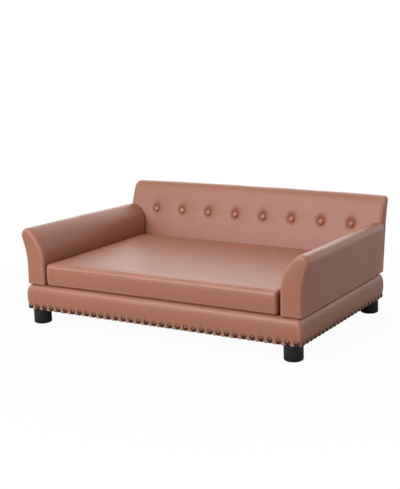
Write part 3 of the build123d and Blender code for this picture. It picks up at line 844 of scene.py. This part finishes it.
class SOFA_OT_backrest(bpy.types.Operator):
    """Raked backrest: a soft wedge whose face is drawn in by a row of buttons"""

    bl_idname = "sofa.backrest"
    bl_label = "Backrest"

    def execute(self, context):
        back = context.scene.sofa_bed.back
        slope = math.tan(back.rake)
        lean = math.tan(back.lean)
        half = (BACK_HIGH.x - BACK_LOW.x) / 2 - 0.0012
        height = BACK_HIGH.z - PLINTH_TOP - back.sag
        row = back.button_rise
        face_top = height - back.front_edge * (1 - math.sin(back.rake))
        below, above, beside, fold = 0.026, 0.034, 0.026, 0.0012
        roll_start, tuft_end = row + 0.012, half - 0.012
        face = steps(0.004, row - below, 18)
        face += steps(row - below, row + above, 36)[1:]
        face += steps(row + above, face_top, 8)[1:]

        def profile(inset, lowered):
            """Outline of the wedge from the side: rise, run and share of the face's tufting."""
            top = height - inset - lowered
            front = max(0.0005, back.front_edge - inset)
            rear = max(0.0005, back.rear_edge - inset)
            face_run = inset / math.cos(back.rake)
            rear_run = back.thickness - inset / math.cos(back.lean)
            face_end = top - front * (1 - math.sin(back.rake))
            points = [(0.0, run, 0.0) for run in steps(rear_run - 0.004, face_run + 0.004, 8)]
            points.append((fold, face_run + fold, 0.0))
            for rise in face:
                if rise > row:
                    rise = row + (rise - row) * (face_end - row) / (face_top - row)
                points.append((rise, face_run + rise * slope, 1.0))
            centre = top - front
            centre_run = face_run + centre * slope + front / math.cos(back.rake)
            for turn in steps(math.pi - back.rake, math.pi / 2, 9)[1:]:
                share = max(0.0, 2 * (turn - math.pi / 2) / math.pi)
                points.append(
                    (centre + front * math.sin(turn), centre_run + front * math.cos(turn), share)
                )
            centre = top - rear
            behind = rear_run + centre * lean - rear / math.cos(back.lean)
            points.append((top, (centre_run + behind) / 2, 0.0))
            for turn in steps(math.pi / 2, -back.lean, 9):
                points.append((centre + rear * math.sin(turn), behind + rear * math.cos(turn), 0.0))
            rear_end = centre - rear * math.sin(back.lean)
            rises = steps(rear_end, 0.005, 24)[1:]
            points += [(rise, rear_run + rise * lean, 0.0) for rise in rises]
            points.append((fold, rear_run - fold, 0.0))
            return points

        columns = {round(x, 5) for x in steps(back.end_edge - half, half - back.end_edge, 150)}
        for button_x in button_row(back):
            columns = {x for x in columns if abs(x - button_x) > beside + 0.0005}
            columns |= {round(x, 5) for x in steps(button_x - beside, button_x + beside, 30)}
        places = [(x, 0.0) for x in sorted(columns)]
        ends = [
            (half - back.end_edge * (1 - math.sin(turn)), back.end_edge * (1 - math.cos(turn)))
            for turn in steps(0, math.pi / 2, 8)[1:]
        ]
        ends += [(half, back.end_edge + cap) for cap in (0.0015, 0.0035)]
        places = [(-x, inset) for x, inset in reversed(ends)] + places + ends
        rings = []
        for x, inset in places:
            into = max(0.0, abs(x) - (half - back.corner))
            drop = back.corner - math.sqrt(max(0.0, back.corner**2 - into**2))
            ring = []
            for rise, run, share in profile(inset, max(0.0, drop - inset)):
                pull = share * tuft_pull(x, rise, back) if abs(x) < tuft_end else 0.0
                rise -= pull * math.sin(back.rake)
                run += pull * math.cos(back.rake)
                rolled = max(0.0, (rise - roll_start) / (height - roll_start))
                run += back.roll_back * (0.5 * rolled**1.2 + 0.5 * rolled**5)
                rise += back.crown * rolled * (1 - (x / half) ** 2)
                ring.append(back_place(x, rise, run, back))
            rings.append(ring)
        piece = skin("backrest", rings)
        foot = PLINTH_HIGH.y - back.seat

        def soften(place, normal):
            """Unevenness of the padding: finer on the face, and none on the flat ends."""
            if normal.y < -0.5:
                slow = 0.0003 * (1 + ripple(place, 0.14, 8))
                return -0.0001 * (1 + ripple(place, 0.05, 2)) - slow
            up = smooth_share(place.z - PLINTH_TOP, 0.004, 0.03)
            up *= 1 - smooth_share(abs(normal.x), 0.1, 0.7)
            rear = 0.0010 * ripple(place, 0.12, 11) + 0.0003 * ripple(place, 0.03, 4)
            return rear * up if place.y > foot else 0.0

        push_skin(piece, soften)
        seam_inset = 0.0088
        for sign in (-1, 1):
            sew_seam(piece, (sign * (half - seam_inset), 0, 0), (1, 0, 0), SEAM_WIDTH, 0.0008)
        finished(piece, "sofa", leather_material(), ("back_cover", "back_foam"))
        return {"FINISHED"}


class SOFA_OT_buttons(bpy.types.Operator):
    """Leather-covered buttons at the bottom of the tufts"""

    bl_idname = "sofa.buttons"
    bl_label = "Buttons"

    def execute(self, context):
        back = context.scene.sofa_bed.back
        radius = back.button_radius
        dome = flat_ball(28, 16, radius, 0.62)
        ruffles, ruffle_height = 14, 0.00022
        for vertex in dome.data.vertices:
            turn = math.atan2(vertex.co.y, vertex.co.x)
            rim = math.hypot(vertex.co.x, vertex.co.y) / radius
            if vertex.co.z < 0.3 * radius:
                vertex.co.z += ruffle_height * math.cos(ruffles * turn) * rim
        proud = 0.0008
        depth = back.tuft_depth - proud
        rise = back.button_rise - depth * math.sin(back.rake)
        run = back.button_rise * math.tan(back.rake) + depth * math.cos(back.rake)
        outward = (0, -math.cos(back.rake), math.sin(back.rake))
        matrices = [
            set_outward(back_place(x, rise, run, back), (1, 0, 0), outward)
            for x in button_row(back)
        ]
        piece = repeated("covered_buttons", dome, matrices)
        # Lower roughness for polish, and a base 8% lighter as a painted highlight on the buttons.
        polished_lit_leather = leather_material("Polished leather, painted highlight", 1.08, 0.12)
        finished(piece, "sofa", polished_lit_leather, ("back_buttons",))
        return {"FINISHED"}


# Cushion


def box_grid(name, counts):
    """A closed cube from -1 to 1 with so many cells along each axis."""
    shape = bmesh.new()
    made = {}
    for first, second, third in ((0, 1, 2), (0, 2, 1), (1, 2, 0)):
        cells = [
            (a, b, side)
            for a in range(counts[first])
            for b in range(counts[second])
            for side in (0, counts[third])
        ]
        for a, b, side in cells:
            face = []
            for more_a, more_b in ((0, 0), (1, 0), (1, 1), (0, 1)):
                key = [side, side, side]
                key[first], key[second] = a + more_a, b + more_b
                key = tuple(key)
                if key not in made:
                    made[key] = shape.verts.new([2 * n / c - 1 for n, c in zip(key, counts)])
                face.append(made[key])
            shape.faces.new(face)
    return piece_from_bmesh(name, shape)


def to_rounded_box(point, half, edge, corner):
    """A cube's point moved onto a box with soft upper and lower edges and rounded corners."""
    x, y, z = (p * h for p, h in zip(point, half))
    across = Vector((x, y))
    inner = (half[0] - corner, half[1] - corner)
    into = Vector((max(0.0, abs(x) - inner[0]), max(0.0, abs(y) - inner[1])))
    if into.x > 0 and into.y > 0:
        ring = max(into.x, into.y)
        into *= ring / into.length
        across = Vector((math.copysign(inner[0] + into.x, x), math.copysign(inner[1] + into.y, y)))
        radial = ring - (corner - edge)
    else:
        radial = max(abs(x) - (half[0] - edge), abs(y) - (half[1] - edge))
    lift = abs(z) - (half[2] - edge)
    if radial > 0 and lift > 0:
        share = max(radial, lift) / math.hypot(radial, lift)
        z = math.copysign(half[2] - edge + lift * share, z)
        core = Vector([max(-most, min(most, place)) for most, place in zip(inner, across)])
        across -= (across - core).normalized() * radial * (1 - share)
    return Vector((across.x, across.y, z))


class SOFA_OT_cushion(bpy.types.Operator):
    """Loose boxed seat cushion: swollen by its filling, seamed along its upper and lower edges"""

    bl_idname = "sofa.cushion"
    bl_label = "Cushion"

    def execute(self, context):
        sizes = context.scene.sofa_bed.cushion
        low, high = SEAT_LOW, SEAT_HIGH
        crown_room = 0.0035
        wall_top = high.z - crown_room
        half = ((high.x - low.x) / 2 - 0.0012, (high.y - low.y) / 2 - 0.002, (wall_top - low.z) / 2)
        centre = Vector(((low.x + high.x) / 2, (low.y + high.y) / 2, (wall_top + low.z) / 2))
        front_bow, side_bow, front_rise = 0.0030, 0.0020, 0.002
        piece = box_grid("seat_cushion", (104, 66, 9))
        for vertex in piece.data.vertices:
            u, v, w = vertex.co
            place = to_rounded_box((u, v, w), half, sizes.edge, sizes.corner)
            if abs(v) > 0.999 or abs(u) > 0.999 or abs(w) < 0.999:
                if v < -0.9:
                    place.y += front_bow * (1 - abs(u) ** 2.2) - front_bow * (1 - w * w)
                if abs(u) > 0.9:
                    place.x -= math.copysign(side_bow * (1 - abs(v) ** 2.2), u)
            if w > 0.0:
                crown = (1 - u**4) * (1 - v**4)
                place.z += sizes.crown * crown * smooth_share(w, 0.6, 1.0)
            rearward = (v + 1) / 2
            spread = sizes.wider * (1 - rearward) - sizes.narrower * rearward
            place.x += spread * place.x / half[0]
            place.z += front_rise * (1 - rearward) * smooth_share(w, -0.5, 1.0)
            vertex.co = place + centre
        piece.data.update()
        self.fill(context, piece, sizes.swell)
        least = low - Vector((0.0035, 0.003, 0))
        most = high + Vector((0.0035, -0.0002, 0.0025))
        for vertex in piece.data.vertices:
            vertex.co = [max(a, min(b, c)) for a, b, c in zip(least, most, vertex.co)]
        pick(piece)
        smoother = piece.modifiers.new("Finer", "SUBSURF")
        smoother.levels = smoother.render_levels = 1
        bpy.ops.object.modifier_apply(modifier=smoother.name)

        def soften(place, normal):
            """Unevenness of the filling, most of it on the top."""
            top = smooth_share(normal.z, 0.3, 0.9)
            slow = 0.0006 * ripple(place, 0.13, 21) + 0.00010 * ripple(place, 0.035, 7)
            return slow * (0.35 + 0.65 * top) if place.z > low.z + 0.004 else 0.0

        push_skin(piece, soften)
        upper, lower = wall_top - sizes.edge - 0.0015, low.z + sizes.edge + 0.001
        sew_seam(piece, (0, 0, upper), (0, 0, 1), SEAM_WIDTH, 0.0011)
        sew_seam(piece, (0, 0, lower), (0, 0, 1), SEAM_WIDTH, 0.0010)
        replaced = ("cushion_cover", "cushion_core")
        finished(piece, "cushion", leather_material(), replaced)
        return {"FINISHED"}

    def fill(self, context, piece, most):
        """The filling's pressure swells the cover, and no point moves further than the most."""
        start = [vertex.co.copy() for vertex in piece.data.vertices]
        pick(piece)
        cloth = piece.modifiers.new("Filling", "CLOTH")
        settings = cloth.settings
        settings.use_pressure = True
        settings.uniform_pressure_force = 4.0
        settings.effector_weights.gravity = 0.0
        settings.mass = 0.3
        settings.tension_stiffness = settings.compression_stiffness = 25.0
        settings.bending_stiffness = 2.0
        settings.quality = 4
        for step in range(1, 21):
            context.scene.frame_set(step)
        bpy.ops.object.modifier_apply(modifier=cloth.name)
        context.scene.frame_set(1)
        for vertex, place in zip(piece.data.vertices, start):
            move = vertex.co - place
            if move.length > most:
                vertex.co = place + move.normalized() * most
        piece.data.update()


class SOFA_OT_zip(bpy.types.Operator):
    """Zip across the cushion's rear boxing: welts, tape and teeth"""

    bl_idname = "sofa.zip"
    bl_label = "Zip"

    def execute(self, context):
        low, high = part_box("zip_tape")
        chain_low, chain_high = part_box("zip_chain")
        face = SEAT_HIGH.y
        level = (low.z + high.z) / 2
        span = high.x - low.x
        welt_offset, pitch, stagger, rise = 0.0078, 0.0025, 0.0009, 0.0003
        welt = soft_bar((span + 0.004, 0.0018, 0.0085), 0.0007, 3)
        sides = [
            Matrix.Translation((0, face + 0.0004, level + sign * welt_offset)) for sign in (-1, 1)
        ]
        piece = repeated("zip_welts", welt, sides)
        finished(piece, "cushion", leather_material())
        cloth = woven_material("Zip tape weave", (0.05, 0.022, 0.014), (0.12, 0.055, 0.035), 420.0)
        strip = soft_bar((span - 0.004, 0.0006, 0.0072), 0.0002)
        tape = repeated("zip_cloth", strip, [Matrix.Translation((0, face + rise, level))])
        finished(tape, "cushion", cloth, ("zip_tape",))
        count = int((chain_high.x - chain_low.x) / pitch)
        tooth = soft_bar((0.0017, 0.0011, 0.0034), 0.0003, 1)
        reach = (count - 1) * pitch / 2
        places = [
            Matrix.Translation((x + sign * pitch / 4, face + 0.0009, level + sign * stagger))
            for x in steps(-reach, reach, count)
            for sign in (-1, 1)
        ]
        teeth = repeated("zip_teeth", tooth, places)
        for polygon in teeth.data.polygons:
            polygon.use_smooth = False
        coil = mottled_material(
            "Zip coil", (0.05, 0.024, 0.015), (0.10, 0.05, 0.033), 0.42, 0.0, 60.0, 1500.0
        )
        finished(teeth, "cushion", coil, ("zip_chain",))
        return {"FINISHED"}


class SOFA_OT_feet(bpy.types.Operator):
    """Round moulded feet with a soft lower edge"""

    bl_idname = "sofa.feet"
    bl_label = "Feet"

    def execute(self, context):
        low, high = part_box("feet")
        foot_x, sole_edge = 0.4305, 0.0045
        radius = (high.x - low.x) / 2 - foot_x + 0.0001
        plastic = mottled_material(
            "Black satin plastic", (0.005, 0.005, 0.0055), (0.010, 0.010, 0.011), 0.46, 0.0, 30.0,
            900.0, 0.00012, 0.18,
        )
        pick()
        bpy.ops.mesh.primitive_cylinder_add(
            vertices=56, radius=radius, depth=high.z - low.z,
            location=(0, 0, (high.z + low.z) / 2), end_fill_type="NGON",
        )
        foot = context.object
        bpy.ops.object.mode_set(mode="EDIT")
        shape = bmesh.from_edit_mesh(foot.data)
        for edge in shape.edges:
            edge.select = all(vertex.co.z < 0 for vertex in edge.verts)
        shape.select_flush_mode()
        bmesh.update_edit_mesh(foot.data)
        bpy.ops.mesh.bevel(offset=sole_edge, segments=5, profile=0.5)
        bpy.ops.object.mode_set(mode="OBJECT")
        bpy.ops.object.transform_apply(location=True, rotation=True, scale=True)
        places = [
            Matrix.Translation((x, y, 0))
            for x in (low.x + radius, high.x - radius)
            for y in (low.y + radius, high.y - radius)
        ]
        piece = repeated("round_feet", foot, places)
        pick(piece)
        bpy.ops.object.shade_smooth_by_angle(angle=math.radians(40))
        finished(piece, "sofa", plastic, ("feet",))
        return {"FINISHED"}


class SOFA_OT_inner(bpy.types.Operator):
    """Finishes of the frame, the foam, the fasteners and the cloth under the plinth"""

    bl_idname = "sofa.inner"
    bl_label = "Inner finishes"

    def execute(self, context):
        finishes = {
            "timber": wood_material(
                "Softwood", (0.46, 0.29, 0.14), (0.68, 0.48, 0.27), (1.0, 9.0, 9.0), 5.0
            ),
            "board": wood_material(
                "Plywood", (0.40, 0.26, 0.13), (0.58, 0.41, 0.23), (2.0, 2.0, 60.0), 7.0
            ),
            "foam": foam_material(),
            "dust_cloth": woven_material(
                "Dust cloth", (0.006, 0.006, 0.006), (0.028, 0.028, 0.028), 260.0
            ),
            "steel": mottled_material(
                "Zinc steel", (0.36, 0.36, 0.37), (0.55, 0.55, 0.56), 0.38, 1.0, 80.0, 700.0
            ),
            "zip_metal": mottled_material(
                "Antique zip metal", (0.10, 0.07, 0.05), (0.24, 0.18, 0.13), 0.36, 1.0, 90.0, 900.0
            ),
            "leather": leather_material(),
            "tack_metal": bpy.data.materials["Antique bronze"],
            "foot_plastic": bpy.data.materials["Black satin plastic"],
            "zip_fabric": bpy.data.materials["Zip tape weave"],
            "zip_teeth": bpy.data.materials["Zip coil"],
        }
        for part in frame["record"]["subparts"]:
            node = frame["nodes"][part["node"]]
            node.data.materials.clear()
            node.data.materials.append(finishes[part["material_slot"]])
        return {"FINISHED"}


# Stage


class SOFA_OT_stage(bpy.types.Operator):
    """Pale floor, soft studio light and the camera at the photographed angle"""

    bl_idname = "sofa.stage"
    bl_label = "Stage"

    def execute(self, context):
        look = context.scene.sofa_bed.stage
        self.floor()
        self.room(context, look.room)
        self.softbox("Key softbox", (-1.3, -3.5, 2.3), (0, 0, 0.15), 3.2, look.key)
        self.softbox("Rim softbox", (-1.2, 3.0, 1.6), (0, 0, 0.25), 3.0, look.rim)
        self.softbox("Top softbox", (0.3, 0.2, 3.4), (0, 0, 0.15), 2.6, look.top)
        self.softbox("Fill softbox", (2.4, 2.6, 0.9), (0.2, 0, 0.2), 1.8, look.fill)
        self.camera(context, look)
        context.scene.view_settings.view_transform = "Standard"
        return {"FINISHED"}

    def floor(self):
        """A wide white floor that keeps a soft shadow."""
        pick()
        bpy.ops.mesh.primitive_plane_add(size=60, location=(0, 0, -0.0003))
        ground = bpy.context.object
        ground.name = "floor"
        bpy.ops.object.transform_apply(location=True, rotation=True, scale=True)
        material, tree, shader = new_material("White floor", 0.9, specular=0.1)
        shader.inputs["Base Color"].default_value = (0.62, 0.62, 0.62, 1)
        inputs = {0: object_place(tree)}
        away = add_node(tree, "ShaderNodeVectorMath", inputs, operation="LENGTH")["Value"]
        seen = add_node(tree, "ShaderNodeLightPath", {})["Is Camera Ray"]
        share = maths(tree, "MULTIPLY", seen, smooth_range(tree, away, 0.55, 1.6, 0.955))
        glow = add_node(tree, "ShaderNodeEmission", {"Strength": 1.0})[0]
        blend_surface(tree, "Material Output", share, shader.outputs["BSDF"], glow)
        ground.data.materials.append(material)

    def room(self, context, level):
        """A pale room that lights from all sides and looks white."""
        world = bpy.data.worlds.new("Pale room")
        world.use_nodes = True
        tree = world.node_tree
        pale = {"Color": (1.0, 0.985, 0.97, 1), "Strength": level}
        pale = fill_inputs(tree, tree.nodes["Background"], pale)[0]
        white = add_node(tree, "ShaderNodeBackground", {"Color": (1, 1, 1, 1), "Strength": 1.0})[0]
        rays = add_node(tree, "ShaderNodeLightPath", {})
        seen = maths(tree, "MAXIMUM", rays["Is Camera Ray"], rays["Is Transmission Ray"])
        mirrored = maths(tree, "MAXIMUM", seen, rays["Is Glossy Ray"])
        blend_surface(tree, "World Output", mirrored, pale, white)
        context.scene.world = world

    def softbox(self, name, place, aim, size, power):
        """One large soft lamp turned to the sofa."""
        lamp = bpy.data.lights.new(name, "AREA")
        lamp.shape = "SQUARE"
        lamp.size = size
        lamp.energy = power
        holder = bpy.data.objects.new(name, lamp)
        holder.location = place
        toward = Vector(aim) - Vector(place)
        holder.rotation_mode = "QUATERNION"
        holder.rotation_quaternion = toward.to_track_quat("-Z", "Y")
        bpy.context.scene.collection.objects.link(holder)

    def camera(self, context, look):
        """The camera that took the photograph, from its angles, distance and framing."""
        turn = Matrix.Rotation(look.azimuth, 4, "Z")
        turn @= Matrix.Rotation(math.pi / 2 - look.elevation, 4, "X")
        turn @= Matrix.Rotation(look.tilt, 4, "Z")
        aim_height, slide_right, slide_up = 0.14295, -0.013928, 0.082396
        aim = Matrix.Translation((0, MIDDLE_Y, aim_height))
        slide = Matrix.Translation((slide_right, slide_up, look.distance))
        lens = bpy.data.cameras.new("Camera")
        lens.lens = look.lens
        lens.sensor_width = 36.0
        lens.clip_end = 100.0
        holder = bpy.data.objects.new("Camera", lens)
        holder.matrix_world = aim @ turn @ slide
        context.scene.collection.objects.link(holder)
        context.scene.camera = holder


class SOFA_PT_panel(bpy.types.Panel):
    """All the pieces of the sofa, in the order they are made"""

    bl_idname = "SOFA_PT_panel"
    bl_label = "Dog sofa bed"
    bl_space_type = "VIEW_3D"
    bl_region_type = "UI"
    bl_category = "Sofa"

    def draw(self, context):
        for piece in PIECE_OPERATORS:
            self.layout.operator(piece.bl_idname)
        sofa = context.scene.sofa_bed
        for group in (sofa.leather, sofa.plinth, sofa.arm, sofa.back, sofa.cushion, sofa.stage):
            box = self.layout.box()
            for label in group.__annotations__:
                box.prop(group, label)


SIZE_GROUPS = (
    LeatherLook, PlinthSizes, ArmSizes, BackSizes, CushionSizes, StageLook, SofaSizes,
)
PIECE_OPERATORS = (
    SOFA_OT_plinth, SOFA_OT_tacks, SOFA_OT_arms, SOFA_OT_backrest, SOFA_OT_buttons,
    SOFA_OT_cushion, SOFA_OT_zip, SOFA_OT_feet, SOFA_OT_inner, SOFA_OT_stage,
)


def register():
    """Adds the classes and the sizes to Blender."""
    for each in (*SIZE_GROUPS, *PIECE_OPERATORS, SOFA_PT_panel):
        bpy.utils.register_class(each)
    bpy.types.Scene.sofa_bed = bpy.props.PointerProperty(type=SofaSizes)


def unregister():
    """Takes them away again."""
    del bpy.types.Scene.sofa_bed
    for each in (SOFA_PT_panel, *reversed(PIECE_OPERATORS), *reversed(SIZE_GROUPS)):
        bpy.utils.unregister_class(each)


def main():
    """Makes every piece in order."""
    register()
    bpy.ops.sofa.plinth()
    bpy.ops.sofa.tacks()
    bpy.ops.sofa.arms()
    bpy.ops.sofa.backrest()
    bpy.ops.sofa.buttons()
    bpy.ops.sofa.cushion()
    bpy.ops.sofa.zip()
    bpy.ops.sofa.feet()
    bpy.ops.sofa.inner()
    bpy.ops.sofa.stage()


if __name__ == "__main__":
    main()
